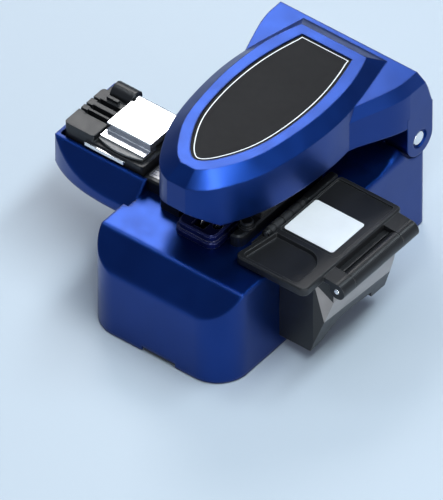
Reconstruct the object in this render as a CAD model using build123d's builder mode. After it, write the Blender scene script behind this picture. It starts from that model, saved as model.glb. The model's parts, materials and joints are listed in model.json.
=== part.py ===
from build123d import *
import os

# Bench fibre cleaver. X to the right, Y to the rear, Z up, all in millimetres.
# The origin is the centre of the rubber pad that the tool stands on.

os.makedirs("parts", exist_ok=True)

# Driving dimensions of the base
body_width = 53.0
body_depth = 96.5
deck_z = 32.6
body_clearance_z = 0.5
front_corner_r = 11.0
rear_corner_r = 1.5
facet_height = 7.7
facet_depth = 9.1
edge_round = 1.6
rear_rise = 2.0
rear_rise_start = 21.0
rear_rise_end = 11.0
bay_half_width = 10.5
bay_front = 12.0
bay_rear = 13.5
roof_thickness = 3.6

# Driving dimensions of the hinge between base and lever
hinge_y_from_rear = 3.4
hinge_height_over_deck = 3.1
pin_r = 2.6
leg_r = 6.0
leg_width = 8.0
pocket_gap = 0.9
boss_r = 4.9
spring_bay_half = 7.0

# Driving dimensions of the holder wing
wing_reach = 31.9
wing_depth = 6.5
wing_lip_height = 4.3
wing_front = 27.5
wing_rear = 56.2
wing_band_front = 21.1
wing_band_drop = 3.3
wing_lip = 1.0
wing_inner = 2.0

# Driving dimensions of the lever
lever_clearance = 5.5
lever_wall_height = 14.75
crown_height = 3.45
lever_roof = 2.95
outline_depth = 96.5
outline_width = 53.0
lever_overhang = 0.7
lever_wall = 3.0
nose_undercut_y = 17.8
nose_undercut = 5.0
nameplate_depth = 0.9
nameplate_gap = 0.1

# Driving dimensions of the cleaving line: the fibre lies along X at this place
fibre_y = 39.0
fibre_height = 7.9
pad_thickness = 0.4
clamp_depth = 7.0
blade_gap_half = 3.2
pinch_gap = 0.1

# Driving dimensions of the blade carriage
slot_half_width = 7.0
slot_front = 20.0
carriage_front = 21.0
carriage_length = 20.5
carriage_half_width = 6.4
carriage_stroke = 20.0
stroke_margin = 1.0
wheel_r = 8.0
wheel_thickness = 1.0
wheel_y = 29.5
axle_r = 1.5
block_half_width = 7.6
block_front = 18.8
block_length = 23.2
block_height = 4.25
block_step = 0.7

# Driving dimensions of the rail
rail_half_width = 4.5
rail_depth = 16.6
rail_height = 5.5
rail_front = 14.0
rail_rear = 14.5
rail_post_depth = 4.0
groove_depth = 0.8
rod_r = 0.8
rod_depth = 6.6

# Driving dimensions of the deck plate
deck_plate_height = 4.3
plate_front = 24.6
plate_bridge = 3.0
plate_corner_r = 2.5
arm_inner = 9.6
arm_outer_left = 17.8
arm_outer_right = 13.1

# Driving dimensions of the waste box
box_reach = 16.9
box_front = 26.3
box_rear = 61.5
box_wall = 1.6
box_bottom_z = 4.9
box_floor_depth = 16.6
chute_gap = 1.2
chute_front = 30.0
chute_rear = 60.0
chute_depth = 13.1
flange_thickness = 0.5
box_hinge_reach = 20.0
box_hinge_drop = 0.6
knuckle_r = 2.8
lid_pin_r = 0.9
lid_thickness = 2.6
lid_front = 19.0
lid_rear = 66.0
lid_reach = 15.0
lid_front_reach = 3.3
lid_step = 30.8
knuckle_front = 28.0
barrel_front = 33.9
barrel_rear = 56.8
knuckle_rear = 64.0
roller_gap = 1.9
roller_r = 1.5
roller_front = 34.0
roller_rear = 50.0
roller_height = 2.2
ear_t = 1.4
label_width = 18.2
label_depth = 15.8

# Driving dimensions of the fibre holder
holder_margin = 2.3
holder_right = 1.5
holder_front = 28.9
holder_rear = 52.6
holder_height = 9.4
holder_step = 18.5
holder_bed_height = 7.2
holder_hinge_y = 49.2
holder_knuckle_r = 3.1
holder_pin_r = 0.9
holder_lid_height = 11.4
holder_lid_left = 18.0

# Fits
seat_gap = 0.1
running_gap = 0.05
loose_gap = 0.3
joint_gap = 0.2

# Derived places
front = -body_depth / 2
rear = body_depth / 2
left = -body_width / 2
right = body_width / 2
hinge_y = rear - hinge_y_from_rear
hinge_z = deck_z + hinge_height_over_deck
rear_deck_z = deck_z + rear_rise
lever_half = body_width / 2 + lever_overhang
leg_inner = lever_half - leg_width
wing_top_z = deck_z + wing_lip_height
wing_bottom_z = deck_z - wing_depth
wing_band_z = deck_z - wing_band_drop
facet_start_z = deck_z - facet_height
fibre_z = deck_z + fibre_height
lever_z0 = fibre_z + lever_clearance
lever_edge_z = lever_z0 + lever_wall_height
lever_top_z = lever_edge_z + crown_height
lever_ceiling_z = lever_edge_z - lever_roof
nose_undercut_z = lever_z0 + nose_undercut
rail_z0 = deck_z - rail_depth
rod_z = deck_z - rod_depth
plate_top_z = deck_z + deck_plate_height
fibre_line = front + fibre_y
wheel_z = fibre_z - wheel_r
bay_top_z = deck_z - roof_thickness
flange_z = (deck_z + seat_gap, deck_z + seat_gap + flange_thickness)
box_top_z = flange_z[1] - seat_gap
lid_z0 = flange_z[1]
box_hinge_z = deck_z - box_hinge_drop
chute_z0 = deck_z - chute_depth
roller_z = deck_z + roller_height
slot_rear = carriage_front + carriage_length + carriage_stroke + stroke_margin
plate_rear = block_front + block_length + carriage_stroke + stroke_margin + plate_bridge
holder_left = wing_reach - holder_margin
holder_top_z = deck_z + holder_height
holder_bed_z = deck_z + holder_bed_height
holder_hinge_z = holder_top_z
holder_lid_top_z = deck_z + holder_lid_height
lid_top_z = lid_z0 + lid_thickness
box_hinge_x = right + box_hinge_reach
roller_x = arm_outer_right + roller_gap + roller_r
chute_x0 = arm_outer_right + chute_gap
lid_x0 = roller_x + roller_r + loose_gap

UP = (Align.CENTER, Align.CENTER, Align.MIN)
DOWN = (Align.CENTER, Align.CENTER, Align.MAX)


def block(x, y, z, mode=Mode.ADD):
    """Rectangular block between a low and a high limit on each axis."""
    centre = ((x[0] + x[1]) / 2, (y[0] + y[1]) / 2, z[0])
    with Locations(centre):
        Box(x[1] - x[0], y[1] - y[0], z[1] - z[0], align=UP, mode=mode)


def plate(x, y, z, radius, mode=Mode.ADD):
    """Block with rounded vertical edges."""
    with BuildSketch(Plane.XY.offset(z[0])) as area:
        with Locations(((x[0] + x[1]) / 2, (y[0] + y[1]) / 2)):
            RectangleRounded(x[1] - x[0], y[1] - y[0], radius)
    extrude(area.sketch, amount=z[1] - z[0], mode=mode)


def bar_x(x, y, z, radius, mode=Mode.ADD):
    """Round bar along X between two limits."""
    with Locations(Location(((x[0] + x[1]) / 2, y, z), (0, 90, 0))):
        Cylinder(radius, x[1] - x[0], mode=mode)


def bar_y(x, y, z, radius, mode=Mode.ADD):
    """Round bar along Y between two limits."""
    with Locations(Location((x, (y[0] + y[1]) / 2, z), (90, 0, 0))):
        Cylinder(radius, y[1] - y[0], mode=mode)


def bar_z(x, y, z, radius, mode=Mode.ADD):
    """Round bar along Z between two limits."""
    with Locations((x, y, z[0])):
        Cylinder(radius, z[1] - z[0], align=UP, mode=mode)


def side_prism(points, x, mode):
    """Prism along X over an outline given as (Y, Z)."""
    with BuildSketch(Plane.YZ.offset(x[0])) as outline:
        with BuildLine():
            Polyline(*points, close=True)
        make_face()
    extrude(outline.sketch, amount=x[1] - x[0], mode=mode)


def front_prism(points, y, mode):
    """Prism along Y over an outline given as (X, Z)."""
    with BuildSketch(Plane.XZ.offset(-y[1])) as outline:
        with BuildLine():
            Polyline(*points, close=True)
        make_face()
    extrude(outline.sketch, amount=y[1] - y[0], mode=mode)


def mirrored_face(height, points):
    """Face symmetric about the centre plane, through (half width, Y) points from nose to tail."""
    with BuildSketch(Plane.XY.offset(height)) as outline:
        with BuildLine():
            Line((-points[0][0], points[0][1]), points[0])
            Spline(*points)
            Line(points[-1], (-points[-1][0], points[-1][1]))
            Spline(*[(-half, y) for half, y in points])
        make_face()
    return outline.sketch


def leaf_face(height, points):
    """Face symmetric about the centre plane with a round tip at its first point."""
    rim = points[::-1] + [(-half, y) for half, y in points[1:]]
    with BuildSketch(Plane.XY.offset(height)) as outline:
        with BuildLine():
            Spline(*rim)
            Line(rim[-1], rim[0])
        make_face()
    return outline.sketch


def from_front(points):
    """Half width points, given from the front face for the outline sizes, fitted to the body."""
    across = body_width / outline_width
    along = body_depth / outline_depth
    return [(half * across, front + y * along) for half, y in points]


def cap_screws(places, head_r, head_h, shank_r, shank_l, key_r):
    """Screws pointing down, with a hexagonal key recess, head seats at the given places."""
    for x, y, z in places:
        with Locations((x, y, z)):
            Cylinder(head_r, head_h, align=UP)
            Cylinder(shank_r, shank_l, align=DOWN)
        with BuildSketch(Plane.XY.offset(z + head_h)) as key:
            with Locations((x, y)):
                RegularPolygon(key_r, 6)
        extrude(key.sketch, amount=-head_h * 0.6, mode=Mode.SUBTRACT)


def rising_screws(places, head_r, head_h, shank_r, shank_l, key_r):
    """Screws pointing up, with a hexagonal key recess below."""
    for x, y, z in places:
        with Locations((x, y, z)):
            Cylinder(head_r, head_h, align=DOWN)
            Cylinder(shank_r, shank_l, align=UP)
        with BuildSketch(Plane.XY.offset(z - head_h)) as key:
            with Locations((x, y)):
                RegularPolygon(key_r, 6)
        extrude(key.sketch, amount=head_h * 0.6, mode=Mode.SUBTRACT)


# Places of the fasteners
cover_screw_places = [
    (side * (right - 7.0), front + y) for side in (-1, 1) for y in (15.0, body_depth - 12.0)
]
post_x = (arm_inner + arm_outer_right) / 2
deck_screw_places = [(side * post_x, front + plate_front + 5.6) for side in (-1, 1)]
rail_screw_ys = [front + rail_front + 6.0, front + body_depth / 2, rear - rail_rear - 6.0]
holder_screw_x = left - (holder_left + holder_step) / 2
holder_screw_places = [(holder_screw_x, front + holder_front + 3.6), (holder_screw_x, front + holder_rear - 2.9)]
magnet_y = rear - 25.5
magnet_r = 3.5
post_stud_r = 1.5
cover_top_z = 3.0
cover_recess = 1.5
screw_shank_r = 1.25
screw_head_r = 2.6
cover_head_z = 1.7
holder_head_h = 2.0

# Base casing with the holder wing at its left
wing_slope = (wing_top_z - wing_band_z) / (wing_front - wing_band_front)
with BuildPart() as base_body:
    with BuildSketch(Plane.XY.offset(body_clearance_z)) as footprint:
        Rectangle(body_width, body_depth)
        fillet(footprint.vertices().group_by(Axis.Y)[0], front_corner_r)
        fillet(footprint.vertices().group_by(Axis.Y)[-1], rear_corner_r)
    extrude(amount=rear_deck_z - body_clearance_z)
    with BuildSketch(Plane.YZ.offset(left)) as side_view:
        with BuildLine():
            Polyline(
                (front, body_clearance_z),
                (front, facet_start_z),
                (front + facet_depth, deck_z),
                (rear - rear_rise_start, deck_z),
                (rear - rear_rise_end, rear_deck_z),
                (rear, rear_deck_z),
                (rear, body_clearance_z),
                close=True,
            )
        make_face()
        fillet(side_view.vertices().group_by(Axis.X)[0].sort_by(Axis.Y)[-1], edge_round * 2)
        fillet(side_view.vertices().filter_by_position(Axis.X, front + 8, front + 10), edge_round * 1.5)
    extrude(side_view.sketch, amount=body_width, mode=Mode.INTERSECT)
    with BuildSketch(Plane.XZ.offset(-rear)) as front_view:
        with Locations((0, rear_deck_z / 2)):
            Rectangle(body_width, rear_deck_z)
        fillet(front_view.vertices().group_by(Axis.Y)[-1], edge_round * 2)
    extrude(front_view.sketch, amount=body_depth, mode=Mode.INTERSECT)
    with BuildSketch(Plane.XY.offset(wing_bottom_z)) as wing_plan:
        with BuildLine():
            tip_front = (left - wing_reach, front + wing_front)
            band_end = (left - 4.4, front + wing_band_front)
            Spline(tip_front, (left - 23.5, front + 23.3), (left - 15.7, front + 21.6), band_end)
            Line(band_end, (left + wing_inner, front + wing_band_front))
            Line((left + wing_inner, front + wing_band_front), (left + wing_inner, front + wing_rear))
            Line((left + wing_inner, front + wing_rear), (left - wing_reach, front + wing_rear))
            Line((left - wing_reach, front + wing_rear), tip_front)
        make_face()
    extrude(wing_plan.sketch, amount=wing_top_z - wing_bottom_z)
    cut_front = wing_front - (wing_top_z - wing_bottom_z) / wing_slope
    side_prism(
        [
            (front + wing_front, wing_top_z),
            (front + cut_front, wing_top_z + 1),
            (front + wing_band_front - 1.0, wing_band_z - wing_slope),
        ],
        (left - wing_reach - 1, left + wing_inner),
        Mode.SUBTRACT,
    )
    plate(
        (left - wing_reach + wing_lip, left + wing_inner + 2),
        (front + wing_front + wing_lip, front + wing_rear - wing_lip),
        (deck_z, wing_top_z + 1),
        1.0,
        Mode.SUBTRACT,
    )
    block(
        (-spring_bay_half - 12, spring_bay_half + 12),
        (hinge_y - boss_r + 0.4, rear),
        (rear_deck_z - 1, hinge_z),
    )
    bar_x((-leg_inner + 0.7, leg_inner - 0.7), hinge_y, hinge_z, boss_r)
    block(
        (-leg_inner + 0.7, leg_inner - 0.7),
        (rear, rear + boss_r + 1),
        (body_clearance_z, hinge_z - boss_r * 0.72),
        Mode.SUBTRACT,
    )
    for side in (-1, 1):
        inner = side * (leg_inner - 0.5)
        outer = side * (right + 1)
        span = (min(inner, outer), max(inner, outer))
        bar_x(span, hinge_y, hinge_z, leg_r + pocket_gap, Mode.SUBTRACT)
        block(span, (hinge_y - leg_r - pocket_gap, rear + 5), (hinge_z, hinge_z + 9), Mode.SUBTRACT)
    bar_x((-spring_bay_half, spring_bay_half), hinge_y, hinge_z, boss_r + 1.6, Mode.SUBTRACT)
    bar_x((-right, right), hinge_y, hinge_z, pin_r + running_gap, Mode.SUBTRACT)
    block(
        (-bay_half_width, bay_half_width),
        (front + bay_front, rear - bay_rear),
        (body_clearance_z, bay_top_z),
        Mode.SUBTRACT,
    )
    plate(
        (-slot_half_width, slot_half_width),
        (front + slot_front, front + slot_rear),
        (bay_top_z - 1, deck_z + 1),
        1.5,
        Mode.SUBTRACT,
    )
    block(
        (chute_x0 - loose_gap, right + 1),
        (front + chute_front - loose_gap, front + chute_rear + loose_gap),
        (chute_z0 - seat_gap, deck_z + 3),
        Mode.SUBTRACT,
    )
    plate(
        (left + cover_recess, right - cover_recess),
        (front + cover_recess, rear - cover_recess),
        (body_clearance_z, cover_top_z + seat_gap / 2),
        front_corner_r - cover_recess,
        Mode.SUBTRACT,
    )
    block(
        (left + 22.2, left + 34.6),
        (front - 1, front + cover_recess),
        (body_clearance_z, body_clearance_z + 1.4),
        Mode.SUBTRACT,
    )
    for x, y in cover_screw_places:
        bar_z(x, y, (cover_top_z, cover_top_z + 9), screw_shank_r + running_gap, Mode.SUBTRACT)
    for x, y in deck_screw_places:
        bar_z(x, y, (deck_z - 8, deck_z + 1), screw_shank_r + running_gap, Mode.SUBTRACT)
    for x, y in holder_screw_places:
        bar_z(x, y, (wing_bottom_z, deck_z + 1), screw_shank_r + joint_gap, Mode.SUBTRACT)
        bar_z(x, y, (wing_bottom_z, wing_bottom_z + holder_head_h), screw_head_r + joint_gap, Mode.SUBTRACT)
    bar_z(0, magnet_y, (deck_z - 3.6, deck_z + 1), post_stud_r + running_gap, Mode.SUBTRACT)
base_body.part.label = "base_body"
export_step(base_body.part, "parts/base_body.step")

# Plate that closes the casing from below
with BuildPart() as bottom_cover:
    plate(
        (left + cover_recess + seat_gap, right - cover_recess - seat_gap),
        (front + cover_recess + seat_gap, rear - cover_recess - seat_gap),
        (body_clearance_z, cover_top_z),
        front_corner_r - cover_recess - seat_gap,
    )
    plate(
        (left + 12.5, right - 12.5),
        (front + 8, rear - 8),
        (body_clearance_z, body_clearance_z + 0.7),
        4.0,
        Mode.SUBTRACT,
    )
    for x, y in cover_screw_places:
        bar_z(x, y, (body_clearance_z, cover_top_z), screw_shank_r + joint_gap, Mode.SUBTRACT)
        bar_z(x, y, (body_clearance_z, cover_head_z), screw_head_r + joint_gap, Mode.SUBTRACT)
    for y in rail_screw_ys:
        bar_z(0, y, (body_clearance_z, cover_top_z), screw_shank_r + joint_gap, Mode.SUBTRACT)
        bar_z(0, y, (body_clearance_z, cover_head_z + 0.5), screw_head_r + joint_gap, Mode.SUBTRACT)
bottom_cover.part.label = "bottom_cover"
export_step(bottom_cover.part, "parts/bottom_cover.step")

with BuildPart() as cover_screws:
    rising_screws(
        [(x, y, cover_head_z) for x, y in cover_screw_places],
        screw_head_r,
        cover_head_z - body_clearance_z - 0.2,
        screw_shank_r,
        9.0,
        1.1,
    )
cover_screws.part.label = "cover_screws"
export_step(cover_screws.part, "parts/cover_screws.step")

# Anti-slip pad that the tool stands on
pad_half = body_width / 2 - 12.5 - seat_gap
pad_front = front + 8 + seat_gap
with BuildPart() as rubber_pad:
    plate((-pad_half, pad_half), (pad_front, -pad_front), (0, body_clearance_z + 0.7), 4.0 - seat_gap)
rubber_pad.part.label = "rubber_pad"
export_step(rubber_pad.part, "parts/rubber_pad.step")

# Rail block on the bottom cover, with a post that backs the return spring
rail_end = rear - rail_rear
post_front = rail_end - rail_post_depth
with BuildPart() as rail_block:
    block((-7, 7), (front + rail_front, rail_end), (cover_top_z, rail_z0))
    block((-5, 5), (post_front, rail_end), (rail_z0, rod_z + 3))
    chamfer(rail_block.edges().filter_by(Axis.Y).group_by(Axis.Z)[-1], 1.0)
    for y in rail_screw_ys[:2]:
        bar_z(0, y, (cover_top_z, rail_z0), screw_shank_r + running_gap, Mode.SUBTRACT)
    bar_z(0, rail_screw_ys[2], (cover_top_z, cover_top_z + 9), screw_shank_r + running_gap, Mode.SUBTRACT)
rail_block.part.label = "rail_block"
export_step(rail_block.part, "parts/rail_block.step")

with BuildPart() as rail_screws:
    rising_screws(
        [(0, y, cover_head_z + 0.5) for y in rail_screw_ys],
        screw_head_r,
        0.9,
        screw_shank_r,
        9.0,
        1.1,
    )
rail_screws.part.label = "rail_screws"
export_step(rail_screws.part, "parts/rail_screws.step")

# Steel rail with a running groove in each flank
rail_top_z = rail_z0 + rail_height
groove_z = rail_z0 + rail_height / 2
with BuildPart() as guide_rail:
    front_prism(
        [
            (-rail_half_width, rail_z0),
            (-rail_half_width, groove_z - 1.2),
            (-rail_half_width + groove_depth, groove_z),
            (-rail_half_width, groove_z + 1.2),
            (-rail_half_width, rail_top_z),
            (rail_half_width, rail_top_z),
            (rail_half_width, groove_z + 1.2),
            (rail_half_width - groove_depth, groove_z),
            (rail_half_width, groove_z - 1.2),
            (rail_half_width, rail_z0),
        ],
        (front + rail_front, post_front - seat_gap),
        Mode.ADD,
    )
guide_rail.part.label = "guide_rail"
export_step(guide_rail.part, "parts/guide_rail.step")

# Carriage that straddles the rail and carries the blade wheel
carriage_y0 = front + carriage_front
carriage_y1 = carriage_y0 + carriage_length
carriage_top_z = deck_z
well_half = 2.3
wheel_y_place = front + wheel_y
with BuildPart() as blade_carriage:
    block((-carriage_half_width, carriage_half_width), (carriage_y0, carriage_y1), (rail_z0 + 0.6, carriage_top_z))
    reach = rail_half_width + running_gap
    front_prism(
        [
            (-reach, rail_z0 - 1),
            (-reach, groove_z - 1.2),
            (-reach + groove_depth, groove_z),
            (-reach, groove_z + 1.2),
            (-reach, rail_top_z + running_gap),
            (reach, rail_top_z + running_gap),
            (reach, groove_z + 1.2),
            (reach - groove_depth, groove_z),
            (reach, groove_z - 1.2),
            (reach, rail_z0 - 1),
        ],
        (carriage_y0, carriage_y1),
        Mode.SUBTRACT,
    )
    block(
        (-well_half, well_half),
        (wheel_y_place - wheel_r - loose_gap, carriage_y1 - 2.5),
        (wheel_z - wheel_r - 0.6, carriage_top_z),
        Mode.SUBTRACT,
    )
    block((-well_half, well_half), (carriage_y1 - 3, carriage_y1), (rod_z + 2.5, carriage_top_z), Mode.SUBTRACT)
    bar_y(0, (carriage_y1 - 3, carriage_y1), rod_z, rod_r + running_gap, Mode.SUBTRACT)
    for side in (-1, 1):
        bar_z(side * 4.6, carriage_y0 + 4, (carriage_top_z - 5, carriage_top_z), 0.85, Mode.SUBTRACT)
        bar_z(side * 4.6, carriage_y1 - 3.5, (carriage_top_z - 5, carriage_top_z), 0.85, Mode.SUBTRACT)
blade_carriage.part.label = "blade_carriage"
export_step(blade_carriage.part, "parts/blade_carriage.step")

# Blue thumb block over the carriage, open along the blade
block_y0 = front + block_front
block_top_z = deck_z + seat_gap + block_height
with BuildPart() as thumb_block:
    with BuildSketch(Plane.XY.offset(deck_z)) as thumb_plan:
        with Locations((0, block_y0 + block_length / 2)):
            Rectangle(2 * block_half_width, block_length)
        fillet(thumb_plan.vertices().group_by(Axis.Y)[0], 3.0)
    extrude(amount=block_height / 2 + seat_gap)
    chamfer(thumb_block.faces().sort_by(Axis.Z)[-1].edges(), 0.4)
    plate(
        (-block_half_width + block_step, block_half_width - block_step),
        (block_y0 + block_step, block_y0 + block_length - 0.1),
        (deck_z + 1.0, block_top_z),
        2.6,
    )
    chamfer(thumb_block.faces().sort_by(Axis.Z)[-1].edges(), 0.5)
    block(
        (-well_half, well_half),
        (wheel_y_place - wheel_r - loose_gap, block_y0 + block_length + 1),
        (deck_z, block_top_z + 1),
        Mode.SUBTRACT,
    )
    block(
        (-block_half_width - 1, -carriage_half_width - seat_gap),
        (block_y0 - 1, block_y0 + block_length + 1),
        (deck_z, deck_z + seat_gap),
        Mode.SUBTRACT,
    )
    block(
        (carriage_half_width + seat_gap, block_half_width + 1),
        (block_y0 - 1, block_y0 + block_length + 1),
        (deck_z, deck_z + seat_gap),
        Mode.SUBTRACT,
    )
    block(
        (-block_half_width - 1, block_half_width + 1),
        (block_y0 - 1, carriage_y0),
        (deck_z, deck_z + seat_gap),
        Mode.SUBTRACT,
    )
    for side in (-1, 1):
        for y in (carriage_y0 + 4, carriage_y1 - 3.5):
            bar_z(side * 4.6, y, (deck_z, block_top_z), 0.95, Mode.SUBTRACT)
            bar_z(side * 4.6, y, (block_top_z - 1.5, block_top_z), 1.6, Mode.SUBTRACT)
thumb_block.part.label = "thumb_block"
export_step(thumb_block.part, "parts/thumb_block.step")

with BuildPart() as thumb_screws:
    cap_screws(
        [(side * 4.6, y, block_top_z - 1.5) for side in (-1, 1) for y in (carriage_y0 + 4, carriage_y1 - 3.5)],
        1.5,
        1.3,
        0.8,
        7.0,
        0.7,
    )
thumb_screws.part.label = "thumb_screws"
export_step(thumb_screws.part, "parts/thumb_screws.step")

# Cheek plate on the right wall of the well, holding the wheel's axle
cheek_x = (0.9, well_half)
with BuildPart() as blade_bracket:
    side_prism(
        [
            (wheel_y_place - 4, wheel_z - 7.5),
            (wheel_y_place + 9, wheel_z - 7.5),
            (wheel_y_place + 9, wheel_z - 1.0),
            (wheel_y_place + 3, wheel_z + 2.6),
            (wheel_y_place - 3, wheel_z + 2.6),
            (wheel_y_place - 4, wheel_z),
        ],
        cheek_x,
        Mode.ADD,
    )
    bar_x(cheek_x, wheel_y_place, wheel_z, axle_r + running_gap, Mode.SUBTRACT)
    bar_x(cheek_x, wheel_y_place + 6.5, wheel_z - 4.5, 0.9, Mode.SUBTRACT)
blade_bracket.part.label = "blade_bracket"
export_step(blade_bracket.part, "parts/blade_bracket.step")

with BuildPart() as blade_axle:
    bar_x((-wheel_thickness / 2 - 0.3, well_half - running_gap), wheel_y_place, wheel_z, axle_r)
    bar_x((-well_half + joint_gap, -wheel_thickness / 2 - 0.3), wheel_y_place, wheel_z, 2.8)
    block(
        (-well_half + joint_gap - 1, -well_half + joint_gap + 0.5),
        (wheel_y_place - 2, wheel_y_place + 2),
        (wheel_z - 0.3, wheel_z + 0.3),
        Mode.SUBTRACT,
    )
blade_axle.part.label = "blade_axle"
export_step(blade_axle.part, "parts/blade_axle.step")

# Hard metal wheel ground to an edge on its rim
wheel_plane = Plane((0, wheel_y_place, wheel_z), x_dir=(1, 0, 0), z_dir=(0, 0, 1))
with BuildPart() as blade_wheel:
    with BuildSketch(wheel_plane) as wheel_section:
        with BuildLine():
            Polyline(
                (-wheel_thickness / 2, axle_r + running_gap),
                (-wheel_thickness / 2, wheel_r - 1.2),
                (0, wheel_r),
                (wheel_thickness / 2, wheel_r - 1.2),
                (wheel_thickness / 2, axle_r + running_gap),
                close=True,
            )
        make_face()
    revolve(axis=Axis((0, wheel_y_place, wheel_z), (1, 0, 0)))
blade_wheel.part.label = "blade_wheel"
export_step(blade_wheel.part, "parts/blade_wheel.step")

with BuildPart() as blade_hub:
    bar_x((wheel_thickness / 2 + seat_gap / 2, cheek_x[0] - seat_gap / 2), wheel_y_place, wheel_z, 2.8)
    bar_x((wheel_thickness / 2, cheek_x[0]), wheel_y_place, wheel_z, axle_r + running_gap, Mode.SUBTRACT)
blade_hub.part.label = "blade_hub"
export_step(blade_hub.part, "parts/blade_hub.step")

# Guide rod in the carriage's rear wall and the return spring around it
with BuildPart() as spring_rod:
    bar_y(0, (carriage_y1 - 2.4, carriage_y1 + carriage_stroke - 4.0), rod_z, rod_r)
spring_rod.part.label = "spring_rod"
export_step(spring_rod.part, "parts/spring_rod.step")

spring_length = post_front - carriage_y1 - 2 * joint_gap
spring_turns = 8
spring_coil_r = 2.0
spring_wire_r = 0.35
with BuildPart() as carriage_spring:
    with BuildLine():
        coil = Helix(
            pitch=(spring_length - 4 * spring_wire_r) / spring_turns,
            height=spring_length - 4 * spring_wire_r,
            radius=spring_coil_r,
            center=(0, carriage_y1 + joint_gap + 2 * spring_wire_r, rod_z),
            direction=(0, 1, 0),
        )
    with BuildSketch(Plane(coil @ 0, z_dir=coil % 0)):
        RegularPolygon(spring_wire_r, 6)
    sweep(path=coil, is_frenet=True)
carriage_spring.part.label = "carriage_spring"
export_step(carriage_spring.part, "parts/carriage_spring.step")

# Black deck plate around the blade slot, with a tongue towards the holder
scale_x = (left + 0.9, left + 6.4)
scale_y = (front + 30.2, front + 50.5)
scale_thickness = 0.8
with BuildPart() as deck_plate:
    plate(
        (-arm_outer_left, arm_outer_right),
        (front + plate_front, front + plate_rear),
        (deck_z, plate_top_z),
        plate_corner_r,
    )
    plate(
        (left + joint_gap, -arm_outer_left + 4),
        (front + wing_front + wing_lip + seat_gap, front + wing_rear - wing_lip - seat_gap),
        (deck_z, plate_top_z),
        1.0,
    )
    block(
        (-arm_inner, arm_inner),
        (front + plate_front - 1, front + plate_rear - plate_bridge),
        (deck_z, plate_top_z),
        Mode.SUBTRACT,
    )
    chamfer(deck_plate.faces().sort_by(Axis.Z)[-1].edges(), 0.5)
    plate(
        scale_x,
        scale_y,
        (plate_top_z - scale_thickness, plate_top_z),
        0.6,
        Mode.SUBTRACT,
    )
    for x, y in deck_screw_places:
        bar_z(x, y, (deck_z, plate_top_z), screw_shank_r + joint_gap, Mode.SUBTRACT)
deck_plate.part.label = "deck_plate"
export_step(deck_plate.part, "parts/deck_plate.step")

with BuildPart() as scale_plate:
    plate(
        (scale_x[0] + seat_gap, scale_x[1] - seat_gap),
        (scale_y[0] + seat_gap, scale_y[1] - seat_gap),
        (plate_top_z - scale_thickness, plate_top_z),
        0.5,
    )
scale_plate.part.label = "scale_plate"
export_step(scale_plate.part, "parts/scale_plate.step")

# Flanged posts that hold the deck plate down
with BuildPart() as deck_screws:
    for x, y in deck_screw_places:
        bar_z(x, y, (plate_top_z, plate_top_z + 0.9), 2.7)
        bar_z(x, y, (plate_top_z + 0.9, plate_top_z + 2.4), 2.0)
        bar_z(x, y, (deck_z - 7, plate_top_z), screw_shank_r)
    chamfer(deck_screws.faces().filter_by(Axis.Z).sort_by(Axis.Z)[-2:].edges(), 0.4)
deck_screws.part.label = "deck_screws"
export_step(deck_screws.part, "parts/deck_screws.step")

# Lower clamps: a foot on each arm of the deck plate and an overhang to the blade gap
clamp_y = (fibre_line - clamp_depth / 2, fibre_line + clamp_depth / 2)
clamp_top_z = fibre_z - pad_thickness
for side, name, outer in ((-1, "lower_clamp_left", arm_outer_left), (1, "lower_clamp_right", arm_outer_right)):
    with BuildPart() as lower_clamp:
        foot = sorted((side * (arm_inner + 0.3), side * (outer - 0.4)))
        arm = sorted((side * blade_gap_half, side * (outer - 0.4)))
        block(foot, clamp_y, (plate_top_z, clamp_top_z))
        block(arm, clamp_y, (block_top_z + 0.35, clamp_top_z))
        inner_edge = lower_clamp.edges().filter_by(Axis.Y).group_by(Axis.Z)[-1].sort_by(Axis.X)
        chamfer(inner_edge[0] if side > 0 else inner_edge[-1], 0.4)
    lower_clamp.part.label = name
    export_step(lower_clamp.part, f"parts/{name}.step")

with BuildPart() as lower_pads:
    for side in (-1, 1):
        block(
            sorted((side * (blade_gap_half + 0.5), side * (arm_outer_right - 0.6))),
            (fibre_line - 2.5, fibre_line + 2.5),
            (clamp_top_z, fibre_z),
        )
lower_pads.part.label = "lower_pads"
export_step(lower_pads.part, "parts/lower_pads.step")

# Steel post that the closed lever's magnet rests on
strike_z = lever_z0 + 1.4
with BuildPart() as strike_post:
    bar_z(0, magnet_y, (deck_z, strike_z - seat_gap), magnet_r)
    bar_z(0, magnet_y, (deck_z, deck_z + 1.5), magnet_r + 0.7)
    chamfer(strike_post.edges().filter_by(GeomType.CIRCLE).sort_by(Axis.Z)[-1], 0.6)
    bar_z(0, magnet_y, (deck_z - 3.4, deck_z), post_stud_r)
strike_post.part.label = "strike_post"
export_step(strike_post.part, "parts/strike_post.step")

# Hinge pin of the lever and the torsion spring around it
with BuildPart() as lever_pin:
    bar_x((-lever_half + 0.4, lever_half - 0.4), hinge_y, hinge_z, pin_r)
    chamfer(lever_pin.edges().filter_by(GeomType.CIRCLE), 0.4)
lever_pin.part.label = "lever_pin"
export_step(lever_pin.part, "parts/lever_pin.step")

torsion_turns = 5
torsion_wire_r = 0.55
torsion_coil_r = pin_r + torsion_wire_r + 0.35
torsion_width = 2 * spring_bay_half - 2.4
with BuildPart() as lever_spring:
    with BuildLine():
        torsion = Helix(
            pitch=torsion_width / torsion_turns,
            height=torsion_width,
            radius=torsion_coil_r,
            center=(-torsion_width / 2, hinge_y, hinge_z),
            direction=(1, 0, 0),
        )
    with BuildSketch(Plane(torsion @ 0, z_dir=torsion % 0)):
        RegularPolygon(torsion_wire_r, 6)
    sweep(path=torsion, is_frenet=True)
lever_spring.part.label = "lever_spring"
export_step(lever_spring.part, "parts/lever_spring.step")

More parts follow.
